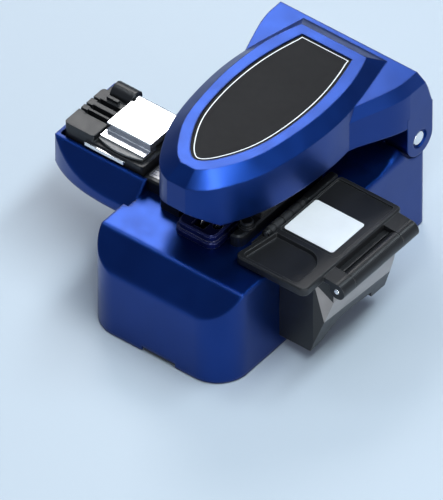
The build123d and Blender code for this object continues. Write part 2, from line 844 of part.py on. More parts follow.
# Lever outlines as half widths against the distance from the base's front face
wall_points = from_front(
    [
        (3.4, 11.0),
        (7.2, 13.0),
        (9.6, 15.3),
        (12.8, 20.2),
        (15.5, 25.6),
        (18.2, 33.0),
        (19.9, 41.0),
        (21.0, 50.6),
        (21.3, 59.0),
        (20.6, 68.5),
        (18.4, 80.0),
        (15.6, 92.0),
    ]
)
crown_points = from_front(
    [
        (2.7, 16.6),
        (6.1, 19.4),
        (9.6, 24.6),
        (12.0, 29.0),
        (14.2, 35.4),
        (15.9, 45.5),
        (16.8, 55.0),
        (16.8, 63.0),
        (15.9, 73.0),
        (13.4, 83.0),
        (12.1, 86.6),
    ]
)
cavity_points = [(half - lever_wall, y) for half, y in wall_points[4:-1]]
flare_points = [
    (lever_half - 6.8, rear - 30.5),
    (lever_half - 5.4, rear - 26.5),
    (lever_half - 2.9, rear - 19.7),
    (lever_half - 0.7, rear - 13.0),
    (lever_half, rear - 6.5),
]
leaf_points = from_front(
    [
        (0.0, 20.2),
        (3.4, 22.2),
        (5.8, 25.4),
        (8.8, 30.9),
        (10.9, 36.4),
        (12.3, 43.0),
        (13.1, 50.5),
        (13.3, 58.0),
        (12.8, 66.5),
        (11.5, 74.5),
        (9.3, 83.2),
    ]
)
wing_slab_z = hinge_z + 7.9
wing_slab_front_z = hinge_z + 10.0
leg_top_z = hinge_z + 11.3
plate_post_ys = (front + 30.5, front + 62.0)
plate_post_x = 9.0
post_end_z = lever_z0 + 2.6

# Rear wings of the lever with their bevelled shoulders
with BuildPart() as lever_wings:
    extrude(mirrored_face(wing_slab_z, flare_points), amount=lever_edge_z - wing_slab_z)
    block(
        (-lever_half, lever_half),
        (flare_points[-1][1], hinge_y + leg_r),
        (wing_slab_z, lever_edge_z),
    )
    shoulder = lever_wings.faces().sort_by(Axis.Z)[-1]
    sides = [
        edge
        for edge in shoulder.edges()
        if abs(edge.center().X) > lever_half * 0.7 and edge.length > 3
    ]
    chamfer(sides, length=1.7, length2=4.4, reference=shoulder)
    side_prism(
        [
            (rear - 30.5, lever_edge_z),
            (rear - 30.5, wing_slab_front_z),
            (rear - 26.5, wing_slab_front_z),
            (hinge_y - leg_r, wing_slab_z),
            (hinge_y + leg_r, wing_slab_z),
            (hinge_y + leg_r - 0.2, hinge_z + 11.1),
            (hinge_y + leg_r - 2.4, hinge_z + 18.1),
            (hinge_y + 0.6, lever_edge_z),
        ],
        (-lever_half, lever_half),
        Mode.INTERSECT,
    )

# Lever shell: boat-shaped top, wings and the two hinge legs
with BuildPart() as lever_shell:
    extrude(mirrored_face(lever_z0, wall_points), amount=lever_edge_z - lever_z0)
    loft([mirrored_face(lever_edge_z, wall_points), mirrored_face(lever_top_z, crown_points)], ruled=True)
    side_prism(
        [
            (front + 5.0, nose_undercut_z),
            (front + 11.0, nose_undercut_z),
            (front + nose_undercut_y, lever_z0),
            (front + nose_undercut_y, lever_z0 - 1),
            (front + 5.0, lever_z0 - 1),
        ],
        (-lever_half, lever_half),
        Mode.SUBTRACT,
    )
    add(lever_wings.part)
    for side in (-1, 1):
        span = sorted((side * leg_inner, side * lever_half))
        bar_x(span, hinge_y, hinge_z, leg_r)
        block(span, (hinge_y - leg_r, hinge_y + leg_r), (hinge_z, leg_top_z))
    extrude(mirrored_face(lever_z0 - 5, cavity_points), amount=lever_ceiling_z - lever_z0 + 5, mode=Mode.SUBTRACT)
    side_prism(
        [
            (rear - 16.5, wing_slab_z - 5),
            (rear - 16.5, lever_ceiling_z - 0.5),
            (hinge_y - 2.5, lever_ceiling_z - 0.5),
            (hinge_y + 2.9, hinge_z + 14.5),
            (hinge_y + 2.9, wing_slab_z - 5),
        ],
        (-leg_inner, leg_inner),
        Mode.SUBTRACT,
    )
    for side in (-1, 1):
        for y in plate_post_ys:
            bar_z(side * plate_post_x, y, (post_end_z, lever_ceiling_z), 2.6)
            bar_z(side * plate_post_x, y, (post_end_z, lever_ceiling_z - 2), 0.9, Mode.SUBTRACT)
    bar_x((-lever_half, lever_half), hinge_y, hinge_z, pin_r + running_gap, Mode.SUBTRACT)
    for side in (-1, 1):
        mouth = sorted((side * (lever_half - 0.7), side * (lever_half + 1)))
        bar_x(mouth, hinge_y, hinge_z, pin_r + 0.6, Mode.SUBTRACT)
    leaf = leaf_face(lever_top_z - nameplate_depth, leaf_points)
    extrude(leaf, amount=nameplate_depth + 1, mode=Mode.SUBTRACT)
lever_shell.part.label = "lever_shell"
export_step(lever_shell.part, "parts/lever_shell.step")

inset_leaf = [(0, leaf_points[0][1] + nameplate_gap)]
inset_leaf += [(half - nameplate_gap, y) for half, y in leaf_points[1:-1]]
inset_leaf += [(leaf_points[-1][0] - nameplate_gap, leaf_points[-1][1] - nameplate_gap)]
with BuildPart() as nameplate:
    extrude(leaf_face(lever_top_z - nameplate_depth, inset_leaf), amount=nameplate_depth * 0.6)
nameplate.part.label = "nameplate"
export_step(nameplate.part, "parts/nameplate.step")

# Plate under the lever, open around the sprung clamp
under_z0 = lever_z0 + 0.4
window_half = 14.0
window_y = (clamp_y[0] - 1.2, clamp_y[1] + 1.2)
under_points = [(half - lever_wall - loose_gap, y) for half, y in wall_points[4:-2]]
with BuildPart() as lever_underplate:
    extrude(mirrored_face(under_z0, under_points), amount=post_end_z - under_z0)
    for side in (-1, 1):
        for y in plate_post_ys:
            bar_z(side * plate_post_x, y, (under_z0, post_end_z), 0.95, Mode.SUBTRACT)
            bar_z(side * plate_post_x, y, (under_z0, under_z0 + 1.2), 1.9, Mode.SUBTRACT)
    block((-window_half, window_half), window_y, (under_z0, post_end_z), Mode.SUBTRACT)
    bar_z(0, magnet_y, (under_z0, post_end_z), magnet_r + 1.2, Mode.SUBTRACT)
lever_underplate.part.label = "lever_underplate"
export_step(lever_underplate.part, "parts/lever_underplate.step")

with BuildPart() as underplate_screws:
    rising_screws(
        [(side * plate_post_x, y, under_z0 + 1.2) for side in (-1, 1) for y in plate_post_ys],
        1.7,
        1.1,
        0.85,
        5.0,
        0.8,
    )
underplate_screws.part.label = "underplate_screws"
export_step(underplate_screws.part, "parts/underplate_screws.step")

# Magnet at the end of a stem from the lever's ceiling
with BuildPart() as magnet_stem:
    bar_z(0, magnet_y, (strike_z + 2.0, lever_ceiling_z), magnet_r - 0.6)
magnet_stem.part.label = "magnet_stem"
export_step(magnet_stem.part, "parts/magnet_stem.step")

with BuildPart() as lever_magnet:
    bar_z(0, magnet_y, (strike_z, strike_z + 2.0), magnet_r)
    chamfer(lever_magnet.edges().filter_by(GeomType.CIRCLE), 0.3)
lever_magnet.part.label = "lever_magnet"
export_step(lever_magnet.part, "parts/lever_magnet.step")

# Sprung clamp: a yoke with two feet, their rubber pads, and the anvil between them
yoke_z0 = post_end_z + 0.4
yoke_top_z = yoke_z0 + 3.0
pad_top_z = fibre_z + pinch_gap + 1.4
yoke_half = window_half - 0.8
with BuildPart() as clamp_yoke:
    block((-yoke_half, yoke_half), clamp_y, (yoke_z0, yoke_top_z))
    for side in (-1, 1):
        foot = sorted((side * (blade_gap_half + 0.3), side * (arm_outer_right - 0.5)))
        block(foot, (clamp_y[0] + 0.6, clamp_y[1] - 0.6), (pad_top_z, yoke_z0))
        bar_z(side * 8.0, fibre_line, (yoke_z0, yoke_top_z), 1.0 + running_gap, Mode.SUBTRACT)
        bar_z(side * 8.0, fibre_line, (pad_top_z, yoke_z0 + 0.4), 1.9, Mode.SUBTRACT)
    block((-2.2, 2.2), (fibre_line - 2.4, fibre_line + 2.4), (yoke_z0, yoke_top_z), Mode.SUBTRACT)
    chamfer(clamp_yoke.edges().filter_by(Axis.Y).group_by(Axis.Z)[-1], 0.5)
clamp_yoke.part.label = "clamp_yoke"
export_step(clamp_yoke.part, "parts/clamp_yoke.step")

with BuildPart() as upper_pads:
    for side in (-1, 1):
        foot = sorted((side * (blade_gap_half + 0.5), side * (arm_outer_right - 0.7)))
        block(foot, (fibre_line - 2.6, fibre_line + 2.6), (fibre_z + pinch_gap, pad_top_z))
upper_pads.part.label = "upper_pads"
export_step(upper_pads.part, "parts/upper_pads.step")

# Shoulder screws that hang the yoke from the lever's ceiling, and the springs round them
with BuildPart() as clamp_guides:
    for side in (-1, 1):
        bar_z(side * 8.0, fibre_line, (yoke_z0 - 0.6, lever_ceiling_z), 1.0)
        bar_z(side * 8.0, fibre_line, (yoke_z0 - 0.6, yoke_z0 + 0.3), 1.75)
clamp_guides.part.label = "clamp_guides"
export_step(clamp_guides.part, "parts/clamp_guides.step")

clamp_wire_r = 0.3
clamp_coil_r = 1.6
clamp_spring_height = lever_ceiling_z - yoke_top_z - 4 * clamp_wire_r
with BuildPart() as clamp_springs:
    for side in (-1, 1):
        with BuildLine():
            clamp_coil = Helix(
                pitch=clamp_spring_height / 4,
                height=clamp_spring_height,
                radius=clamp_coil_r,
                center=(side * 8.0, fibre_line, yoke_top_z + 2 * clamp_wire_r),
            )
        with BuildSketch(Plane(clamp_coil @ 0, z_dir=clamp_coil % 0)):
            RegularPolygon(clamp_wire_r, 6)
        sweep(path=clamp_coil, is_frenet=True)
clamp_springs.part.label = "clamp_springs"
export_step(clamp_springs.part, "parts/clamp_springs.step")

with BuildPart() as anvil:
    block((-1.6, 1.6), (fibre_line - 1.8, fibre_line + 1.8), (fibre_z + 2.6, lever_ceiling_z))
    block((-1.0, 1.0), (fibre_line - 1.8, fibre_line + 1.8), (fibre_z + 0.6, fibre_z + 2.6))
anvil.part.label = "anvil"
export_step(anvil.part, "parts/anvil.step")

# Fibre holder in the wing's tray: ridged bed, hinge block and a magnet-held lid
holder_x0 = left - holder_left
holder_x1 = left - holder_right
step_x = left - holder_step
holder_y0 = front + holder_front
holder_y1 = front + holder_rear
lid_axis_y = front + holder_hinge_y
groove_ys = (front + 36.6, fibre_line + 0.2, front + 42.6)
knuckle_x = (holder_x0 + 3.6, left - holder_lid_left - joint_gap)
ear_x = (left - holder_right + 0.1, left - holder_right + 1.5)
with BuildPart() as holder_base:
    plate((holder_x0, ear_x[1]), (holder_y0, holder_y1), (deck_z, holder_bed_z), 1.2)
    plate((holder_x0, step_x), (holder_y0, lid_axis_y - 1.5), (holder_bed_z - 2, holder_top_z), 1.2)
    for y in groove_ys:
        block((holder_x0 + 2.2, step_x + 1), (y - 0.9, y + 0.9), (holder_top_z - 2.2, holder_top_z + 1), Mode.SUBTRACT)
        block((holder_x0 - 1, holder_x0 + 3), (y - 0.4, y + 0.4), (holder_top_z - 1.2, holder_top_z + 1), Mode.SUBTRACT)
    block((holder_x0 + 4.0, holder_x0 + 8.2), (lid_axis_y - 5.0, lid_axis_y - 3.9), (holder_top_z, holder_top_z + 1.2))
    bar_x(knuckle_x, lid_axis_y, holder_hinge_z, holder_knuckle_r)
    block(
        knuckle_x,
        (lid_axis_y - holder_knuckle_r, lid_axis_y + holder_knuckle_r),
        (holder_bed_z - 1, holder_hinge_z),
    )
    bar_x(ear_x, lid_axis_y, holder_hinge_z, holder_knuckle_r - 0.6)
    block(
        ear_x,
        (lid_axis_y - holder_knuckle_r + 0.6, lid_axis_y + holder_knuckle_r - 0.6),
        (deck_z, holder_hinge_z),
    )
    bar_x((knuckle_x[0] + 2, ear_x[1] + 1), lid_axis_y, holder_hinge_z, holder_pin_r + running_gap, Mode.SUBTRACT)
    block(
        (step_x, ear_x[0]),
        (lid_axis_y - 2.6, holder_y1 + 1),
        (holder_hinge_z - 2.5, holder_top_z + 2),
        Mode.SUBTRACT,
    )
    block((step_x, holder_x1), (fibre_line - 0.5, fibre_line + 0.5), (holder_bed_z - 0.5, holder_bed_z), Mode.SUBTRACT)
    for x in (step_x + 5.0, step_x + 12.0):
        bar_z(x, holder_y0 + 3.2, (holder_bed_z - 2.0, holder_bed_z), 1.5 + running_gap, Mode.SUBTRACT)
    for x, y in holder_screw_places:
        bar_z(x, y, (deck_z, holder_bed_z - 1.0), screw_shank_r + running_gap, Mode.SUBTRACT)
holder_base.part.label = "holder_base"
export_step(holder_base.part, "parts/holder_base.step")

with BuildPart() as holder_screws:
    rising_screws(
        [(x, y, wing_bottom_z + holder_head_h) for x, y in holder_screw_places],
        screw_head_r,
        holder_head_h - seat_gap,
        screw_shank_r,
        wing_depth + holder_bed_height - holder_head_h - 1.4,
        1.1,
    )
holder_screws.part.label = "holder_screws"
export_step(holder_screws.part, "parts/holder_screws.step")

with BuildPart() as holder_magnets:
    for x in (step_x + 5.0, step_x + 12.0):
        bar_z(x, holder_y0 + 3.2, (holder_bed_z - 2.0, holder_bed_z - 0.1), 1.5)
holder_magnets.part.label = "holder_magnets"
export_step(holder_magnets.part, "parts/holder_magnets.step")

with BuildPart() as holder_pin:
    bar_x((knuckle_x[0] + 2.1, ear_x[1] - 0.1), lid_axis_y, holder_hinge_z, holder_pin_r)
holder_pin.part.label = "holder_pin"
export_step(holder_pin.part, "parts/holder_pin.step")

# Bright lid over the fibre bed: a flat crown, a riser and a stepped nose with a curved edge
holder_lid_x = (left - holder_lid_left, left - holder_right - 0.1)
crown_front = front + 34.6
ledge_front = front + 31.4
nose_front = front + 29.2
lid_pad_z = holder_bed_z + 0.2
with BuildPart() as holder_lid:
    with BuildSketch(Plane.YZ.offset(holder_lid_x[0])) as lid_section:
        with BuildLine():
            Polyline(
                (lid_axis_y + 0.6, holder_lid_top_z),
                (crown_front, holder_lid_top_z),
                (crown_front, holder_lid_top_z - 2.6),
                (ledge_front, holder_lid_top_z - 2.6),
                (ledge_front, holder_lid_top_z - 3.2),
                (nose_front, holder_lid_top_z - 3.2),
                (nose_front, holder_bed_z + 0.3),
                (crown_front + 2.6, holder_bed_z + 0.3),
                (crown_front + 2.6, holder_lid_top_z - 2.2),
                (lid_axis_y + 0.6, holder_lid_top_z - 2.2),
                close=True,
            )
        make_face()
        fillet(lid_section.vertices().group_by(Axis.Y)[-1], 0.35)
    extrude(lid_section.sketch, amount=holder_lid_x[1] - holder_lid_x[0])
    bar_x(holder_lid_x, lid_axis_y, holder_hinge_z, holder_pin_r + 1.0)
    bar_x(holder_lid_x, lid_axis_y, holder_hinge_z, holder_pin_r + running_gap, Mode.SUBTRACT)
    with BuildSketch(Plane.XY.offset(holder_bed_z)) as nose_curve:
        with BuildLine():
            mid_x = (holder_lid_x[0] + holder_lid_x[1]) / 2
            ends = [(holder_lid_x[0] - 1, ledge_front - 0.4), (holder_lid_x[1] + 1, ledge_front - 0.4)]
            ThreePointArc(ends[0], (mid_x, nose_front), ends[1])
            Polyline(ends[1], (ends[1][0], nose_front - 1), (ends[0][0], nose_front - 1), ends[0])
        make_face()
    extrude(nose_curve.sketch, amount=5, mode=Mode.SUBTRACT)
    for x in holder_lid_x:
        block((x - 0.8, x + 0.8), (front + 46.6, front + 48.0), (holder_lid_top_z - 1.5, holder_lid_top_z + 1), Mode.SUBTRACT)
holder_lid.part.label = "holder_lid"
export_step(holder_lid.part, "parts/holder_lid.step")

# Thin steel strip on the holder's front face, which the lid's nose closes on
with BuildPart() as front_strip:
    plate(
        (holder_lid_x[0] - 3.4, holder_lid_x[1] - 5.0),
        (holder_y0 - 1.0, holder_y0),
        (holder_bed_z - 1.9, holder_bed_z - 0.7),
        0.4,
    )
front_strip.part.label = "front_strip"
export_step(front_strip.part, "parts/front_strip.step")

with BuildPart() as holder_pad:
    block(
        (holder_lid_x[0] + 1.0, holder_lid_x[1] - 1.0),
        (crown_front + 2.8, crown_front + 8.4),
        (lid_pad_z, holder_lid_top_z - 2.2),
    )
holder_pad.part.label = "holder_pad"
export_step(holder_pad.part, "parts/holder_pad.step")

# Waste box: a chamber outside the casing and a chute that reaches in under the roller
box_x1 = right + box_reach
box_y0 = front + box_front
box_y1 = front + box_rear
chute_y = (front + chute_front, front + chute_rear)
ear_r = roller_r - 0.1
ear_x_span = (roller_x - ear_r, roller_x + ear_r)
ear_fronts = (front + roller_front - ear_t, front + roller_rear)
barrel_y = (front + barrel_front, front + barrel_rear)
corner_cut = 4.2
inner_cut = corner_cut - 0.6 * box_wall
box_floor_z = deck_z - box_floor_depth
chamber_x1 = box_x1 - box_wall - ear_t
with BuildPart() as waste_box:
    block((right + seat_gap, box_x1), (box_y0, box_y1), (box_bottom_z, box_top_z))
    chamfer(waste_box.edges().filter_by(Axis.Z).group_by(Axis.Y)[0].sort_by(Axis.X)[-1], corner_cut)
    fillet(waste_box.edges().filter_by(Axis.Z).group_by(Axis.Y)[-1].sort_by(Axis.X)[-1], 2.0)
    with BuildSketch(Plane.XZ.offset(-box_y1 - 1)) as box_front_view:
        with BuildLine():
            Line((right, box_top_z), (box_x1, box_top_z))
            Line((box_x1, box_top_z), (box_x1, 24.0))
            ThreePointArc((box_x1, 24.0), (box_x1 - 2.2, 15.5), (box_x1 - 5.2, box_bottom_z))
            Line((box_x1 - 5.2, box_bottom_z), (right, box_bottom_z))
            Line((right, box_bottom_z), (right, box_top_z))
        make_face()
    extrude(box_front_view.sketch, amount=box_y1 - box_y0 + 2, mode=Mode.INTERSECT)
    with BuildSketch(Plane.YZ.offset(right)) as box_side_view:
        with BuildLine():
            sill = [
                (box_y0, box_bottom_z),
                (front + 31.2, box_bottom_z + 0.8),
                (front + 36.2, 9.6),
            ]
            step = [(front + 47.3, 10.4), (front + 53.7, 9.5), (front + 55.0, 6.4), (box_y1, 6.4)]
            Polyline(*sill)
            ThreePointArc(sill[-1], (front + 41.6, 10.9), step[0])
            Polyline(*step, (box_y1, box_top_z), (box_y0, box_top_z), sill[0])
        make_face()
    extrude(box_side_view.sketch, amount=box_reach, mode=Mode.INTERSECT)
    block((chute_x0, right + seat_gap + box_wall), chute_y, (chute_z0, flange_z[1]))
    block((chute_x0, right + 1.0), (chute_y[0] - ear_t, chute_y[1] + ear_t), flange_z)
    with BuildSketch(Plane.XY.offset(box_floor_z)) as chamber:
        with BuildLine():
            Polyline(
                (right + seat_gap + box_wall, box_y0 + box_wall),
                (chamber_x1 - inner_cut, box_y0 + box_wall),
                (chamber_x1, box_y0 + box_wall + inner_cut),
                (chamber_x1, box_y1 - box_wall),
                (right + seat_gap + box_wall, box_y1 - box_wall),
                close=True,
            )
        make_face()
    extrude(chamber.sketch, amount=box_top_z - box_floor_z + 2, mode=Mode.SUBTRACT)
    block(
        (chute_x0 + box_wall, right + 5.0),
        (chute_y[0] + box_wall, chute_y[1] - box_wall),
        (chute_z0 + box_wall, flange_z[1]),
        Mode.SUBTRACT,
    )
    for y in ear_fronts:
        block(ear_x_span, (y, y + ear_t), (flange_z[0], roller_z))
        bar_y(roller_x, (y, y + ear_t), roller_z, ear_r)
        bar_y(roller_x, (y, y + ear_t), roller_z, 0.8 + running_gap, Mode.SUBTRACT)
    bar_y(box_hinge_x, barrel_y, box_hinge_z, knuckle_r)
    block((box_x1 - 0.5, box_hinge_x), barrel_y, (box_hinge_z - knuckle_r, box_hinge_z - 0.4))
    bar_y(box_hinge_x, barrel_y, box_hinge_z, lid_pin_r + running_gap, Mode.SUBTRACT)
waste_box.part.label = "waste_box"
export_step(waste_box.part, "parts/waste_box.step")

# Feed roller over the chute's mouth
with BuildPart() as feed_roller:
    bar_y(roller_x, (front + roller_front + joint_gap, front + roller_rear - joint_gap), roller_z, roller_r)
    for n in range(4):
        groove_y = front + roller_front + 2.0 + n * 4.0
        bar_y(roller_x, (groove_y - 0.4, groove_y + 0.4), roller_z, roller_r, Mode.SUBTRACT)
        bar_y(roller_x, (groove_y - 0.4, groove_y + 0.4), roller_z, roller_r - 0.3)
    bar_y(roller_x, (ear_fronts[0], ear_fronts[1] + ear_t), roller_z, 0.8 + running_gap, Mode.SUBTRACT)
feed_roller.part.label = "feed_roller"
export_step(feed_roller.part, "parts/feed_roller.step")

with BuildPart() as roller_axle:
    bar_y(roller_x, (ear_fronts[0], ear_fronts[1] + ear_t), roller_z, 0.8)
roller_axle.part.label = "roller_axle"
export_step(roller_axle.part, "parts/roller_axle.step")

# Waste lid with a raised rim, a finger hollow and two hinge knuckles
lid_x1 = right + lid_reach
lid_front_x = lid_x0 - lid_front_reach
lid_y0 = front + lid_front
lid_y1 = front + lid_rear
rim_height = 0.7
panel_z = lid_top_z - rim_height
knuckle_spans = (
    (front + knuckle_front, barrel_y[0] - joint_gap),
    (barrel_y[1] + joint_gap, front + knuckle_rear),
)
with BuildPart() as waste_lid:
    with BuildSketch(Plane.XY.offset(lid_z0)) as lid_plan:
        with BuildLine():
            Polyline(
                (lid_front_x, lid_y0),
                (lid_x1, lid_y0),
                (lid_x1, lid_y1),
                (lid_x0, lid_y1),
                (lid_x0, front + lid_step + 1.5),
                (lid_front_x + 2.2, front + lid_step),
                close=True,
            )
        make_face()
        fillet(lid_plan.vertices().group_by(Axis.Y)[0], 2.2)
        fillet(lid_plan.vertices().group_by(Axis.Y)[-1], 1.6)
    extrude(lid_plan.sketch, amount=lid_thickness)
    chamfer(waste_lid.faces().sort_by(Axis.Z)[-1].edges(), 0.45)
    plate(
        (lid_x0 + 0.6, lid_x1 - 1.6),
        (front + 36.2, lid_y1 - 1.6),
        (panel_z, lid_top_z + 1),
        1.0,
        Mode.SUBTRACT,
    )
    with BuildSketch(Plane.XY.offset(panel_z - 0.7)) as finger_plan:
        with BuildLine():
            Polyline(
                (lid_front_x + 2.6, lid_y0 + 1.8),
                (lid_x1 - 4.2, lid_y0 + 1.8),
                (lid_x1 - 4.2, front + 34.0),
                (lid_front_x + 4.6, front + 34.0),
                close=True,
            )
        make_face()
        fillet(finger_plan.vertices().sort_by(Axis.X)[-2:].sort_by(Axis.Y)[-1], 6.0)
        fillet(finger_plan.vertices().sort_by(Axis.Y)[:2], 1.0)
    extrude(finger_plan.sketch, amount=4, taper=-14, mode=Mode.SUBTRACT)
    for span in knuckle_spans:
        bar_y(box_hinge_x, span, box_hinge_z, knuckle_r)
        front_prism(
            [
                (lid_x1 - 1.0, lid_z0),
                (lid_x1 - 1.0, lid_top_z - 0.5),
                (box_hinge_x - 0.4, box_hinge_z + knuckle_r),
                (box_hinge_x, box_hinge_z),
                (box_hinge_x - knuckle_r, box_hinge_z),
                (box_hinge_x - knuckle_r, lid_z0),
            ],
            span,
            Mode.ADD,
        )
        bar_y(box_hinge_x, span, box_hinge_z, lid_pin_r + running_gap, Mode.SUBTRACT)
waste_lid.part.label = "waste_lid"
export_step(waste_lid.part, "parts/waste_lid.step")

with BuildPart() as lid_hinge_pin:
    bar_y(box_hinge_x, (knuckle_spans[0][0] - 0.3, knuckle_spans[1][1] + 0.3), box_hinge_z, lid_pin_r)
    chamfer(lid_hinge_pin.edges().filter_by(GeomType.CIRCLE), 0.2)
lid_hinge_pin.part.label = "lid_hinge_pin"
export_step(lid_hinge_pin.part, "parts/lid_hinge_pin.step")

label_x0 = lid_x0 + 0.8
label_y0 = front + 37.8
with BuildPart() as waste_label:
    plate(
        (label_x0, label_x0 + label_width),
        (label_y0, label_y0 + label_depth),
        (panel_z, panel_z + 0.15),
        0.9,
    )
waste_label.part.label = "waste_label"
export_step(waste_label.part, "parts/waste_label.step")

# Strip beside the lid that carries on the line of the roller
with BuildPart() as mouth_frame:
    plate(
        (roller_x - roller_r, lid_x0 - loose_gap),
        (ear_fronts[1] + ear_t + seat_gap, lid_y1),
        (flange_z[1], lid_top_z),
        1.0,
    )
    chamfer(mouth_frame.faces().sort_by(Axis.Z)[-1].edges(), 0.4)
mouth_frame.part.label = "mouth_frame"
export_step(mouth_frame.part, "parts/mouth_frame.step")
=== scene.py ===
import json
import math

import bmesh
import bpy
from mathutils import Matrix, Vector


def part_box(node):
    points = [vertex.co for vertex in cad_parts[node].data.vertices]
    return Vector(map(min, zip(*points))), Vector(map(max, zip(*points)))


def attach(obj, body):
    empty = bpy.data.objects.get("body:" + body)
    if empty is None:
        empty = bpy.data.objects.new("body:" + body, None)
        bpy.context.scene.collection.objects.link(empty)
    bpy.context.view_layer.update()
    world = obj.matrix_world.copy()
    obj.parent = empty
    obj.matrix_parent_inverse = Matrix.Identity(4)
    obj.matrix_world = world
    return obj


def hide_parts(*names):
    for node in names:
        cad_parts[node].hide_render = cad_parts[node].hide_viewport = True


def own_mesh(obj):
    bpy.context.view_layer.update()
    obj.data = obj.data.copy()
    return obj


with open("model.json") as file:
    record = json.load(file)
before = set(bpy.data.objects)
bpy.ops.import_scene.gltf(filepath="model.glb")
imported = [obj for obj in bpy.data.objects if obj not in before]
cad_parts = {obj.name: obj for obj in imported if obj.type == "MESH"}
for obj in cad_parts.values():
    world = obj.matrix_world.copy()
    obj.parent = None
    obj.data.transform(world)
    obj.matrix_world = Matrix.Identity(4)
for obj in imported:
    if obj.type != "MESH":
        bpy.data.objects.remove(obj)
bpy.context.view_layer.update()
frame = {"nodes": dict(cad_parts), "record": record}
nodes = frame["nodes"]
scene = bpy.context.scene
scene.view_settings.view_transform = "Standard"

MM = 0.001


# Camera: seen from far away, 38 degrees round and 42.2 degrees up
IMAGE_H = 500
AZIMUTH, ELEVATION = math.radians(38.0), math.radians(42.2)
PX_PER_M = 3400.0
LENS = 1500.0
SENSOR = 36.0
VIEW_DEPTH = 40.0
AIM = Vector((7.24, -24.88, 30.0)) * MM


def make_camera():
    data = bpy.data.cameras.new("camera")
    data.lens = LENS
    data.sensor_width = SENSOR
    data.clip_end = VIEW_DEPTH
    cam = bpy.data.objects.new("camera", data)
    scene.collection.objects.link(cam)
    right = Vector((math.cos(AZIMUTH), math.sin(AZIMUTH), 0))
    forward = Vector(
        (
            -math.sin(AZIMUTH) * math.cos(ELEVATION),
            math.cos(AZIMUTH) * math.cos(ELEVATION),
            -math.sin(ELEVATION),
        )
    )
    up = right.cross(forward)
    distance = LENS / SENSOR * IMAGE_H / PX_PER_M
    place = AIM - forward * distance
    cam.matrix_world = Matrix(
        (
            (right.x, up.x, -forward.x, place.x),
            (right.y, up.y, -forward.y, place.y),
            (right.z, up.z, -forward.z, place.z),
            (0, 0, 0, 1),
        )
    )
    scene.camera = cam


# Materials
class Tree:
    """Small helper that adds nodes to one material and links them."""

    def __init__(self, name):
        self.material = bpy.data.materials.new(name)
        self.material.use_nodes = True
        self.nodes = self.material.node_tree.nodes
        self.links = self.material.node_tree.links
        self.shader = self.nodes["Principled BSDF"]
        self.coords = self.add("ShaderNodeTexCoord").outputs["Object"]

    def add(self, kind, **values):
        node = self.nodes.new(kind)
        for key, value in values.items():
            setattr(node, key, value)
        return node

    def link(self, out, into):
        self.links.new(out, into)

    def stretched(self, scale):
        mapping = self.add("ShaderNodeMapping")
        mapping.inputs["Scale"].default_value = scale
        self.link(self.coords, mapping.inputs["Vector"])
        return mapping.outputs["Vector"]

    def noise(self, scale, detail=3.0, vector=None):
        node = self.add("ShaderNodeTexNoise")
        node.inputs["Scale"].default_value = scale
        node.inputs["Detail"].default_value = detail
        self.link(vector or self.coords, node.inputs["Vector"])
        return node.outputs["Fac"]

    def spread(self, value, low, high, from_low=0.3, from_high=0.7):
        node = self.add("ShaderNodeMapRange")
        node.inputs["From Min"].default_value = from_low
        node.inputs["From Max"].default_value = from_high
        node.inputs["To Min"].default_value = low
        node.inputs["To Max"].default_value = high
        self.link(value, node.inputs["Value"])
        return node.outputs["Result"]

    def tint(self, value, dark, light, low=0.3, high=0.7):
        ramp = self.add("ShaderNodeValToRGB")
        ramp.color_ramp.elements[0].position = low
        ramp.color_ramp.elements[0].color = (*dark, 1)
        ramp.color_ramp.elements[1].position = high
        ramp.color_ramp.elements[1].color = (*light, 1)
        self.link(value, ramp.inputs["Fac"])
        return ramp.outputs["Color"]

    def bump(self, height, strength, distance, normal=None):
        node = self.add("ShaderNodeBump")
        node.inputs["Strength"].default_value = strength
        node.inputs["Distance"].default_value = distance
        self.link(height, node.inputs["Height"])
        if normal:
            self.link(normal, node.inputs["Normal"])
        return node.outputs["Normal"]

    def rounded(self, radius):
        node = self.add("ShaderNodeBevel", samples=4)
        node.inputs["Radius"].default_value = radius
        return node.outputs["Normal"]

    def painted_edge_highlight(self, colour, edge, radius):
        """Mixes a lighter colour in where the surface turns within a small radius: a painted highlight
        along the edges.
        """
        bevel = self.add("ShaderNodeBevel", samples=6)
        bevel.inputs["Radius"].default_value = radius
        flat = self.add("ShaderNodeNewGeometry")
        turn = self.add("ShaderNodeVectorMath", operation="DOT_PRODUCT")
        self.link(bevel.outputs["Normal"], turn.inputs[0])
        self.link(flat.outputs["Normal"], turn.inputs[1])
        highlight_mask = self.spread(turn.outputs["Value"], 1.0, 0.0, 0.80, 0.97)
        mix = self.add("ShaderNodeMixRGB")
        self.link(highlight_mask, mix.inputs["Fac"])
        self.link(colour, mix.inputs["Color1"])
        mix.inputs["Color2"].default_value = (*edge, 1)
        return mix.outputs["Color"]

    def set(self, **values):
        for key, value in values.items():
            self.shader.inputs[key.replace("_", " ")].default_value = value

    def to(self, out, name):
        self.link(out, self.shader.inputs[name])


def scaled(colour, factor):
    return tuple(min(1.0, c * factor) for c in colour)


def blue_paint(name, radius):
    t = Tree(name)
    base = (0.0044, 0.0336, 0.20)
    cloud = t.noise(45.0, 2.0)
    flake = t.noise(5200.0, 1.0)
    t.to(t.tint(cloud, scaled(base, 0.92), scaled(base, 1.08)), "Base Color")
    t.set(Metallic=0.93, Coat_Weight=0.15, Coat_Roughness=0.2)
    t.to(t.spread(t.noise(160.0, 3.0), 0.29, 0.36), "Roughness")
    t.to(t.bump(flake, 0.08, 0.00004, t.rounded(radius)), "Normal")
    return t.material


